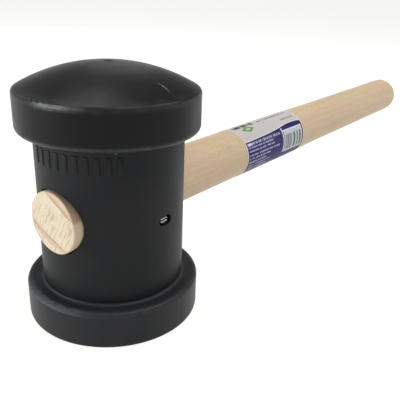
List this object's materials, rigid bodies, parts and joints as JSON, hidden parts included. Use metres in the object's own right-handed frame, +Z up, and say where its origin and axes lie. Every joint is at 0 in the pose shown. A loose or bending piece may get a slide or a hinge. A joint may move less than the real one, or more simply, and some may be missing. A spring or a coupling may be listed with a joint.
{
  "type": "dead blow mallet",
  "caption": "Two-faced dead blow mallet: cylindrical moulded head with one crowned and one flat face, sealed shot chambers inside, and a straight round wooden handle through the waist.",
  "frame": {"origin": "on the head axis, in the plane of the flat striking face", "axes": "+Z up the head axis towards the crowned face, +X along the handle towards its grip end, +Y completes a right-handed frame; the retaining screw is on the -Y side"},
  "size_m": [0.4772, 0.1004, 0.144],
  "materials": {
    "head_moulding": "satin moulded black polyurethane",
    "face_moulding": "satin moulded black polyurethane",
    "canister_steel": "drawn sheet steel, oiled",
    "steel_shot": "dull cast steel shot",
    "handle_wood": "sanded pale beech, end grain at both ends",
    "label_paper": "coated printed paper, white over dark blue",
    "screw_zinc": "bright zinc plate"
  },
  "bodies": {
    "mallet": {"head_body": "head_moulding", "crowned_face": "face_moulding", "flat_face": "face_moulding", "upper_canister": "canister_steel", "upper_canister_lid": "canister_steel", "lower_canister": "canister_steel", "lower_canister_lid": "canister_steel", "handle": "handle_wood", "handle_label": "label_paper", "retaining_screw": "screw_zinc"},
    "upper_charge": {"upper_shot": "steel_shot"},
    "lower_charge": {"lower_shot": "steel_shot"}
  },
  "joints": [
    {"name": "upper_shot_travel", "type": "slide", "parent": "mallet", "child": "upper_charge", "axis": [0, 0, 1], "range_m": [0, 0.0082]},
    {"name": "lower_shot_travel", "type": "slide", "parent": "mallet", "child": "lower_charge", "axis": [0, 0, 1], "range_m": [0, 0.0082]}
  ]
}
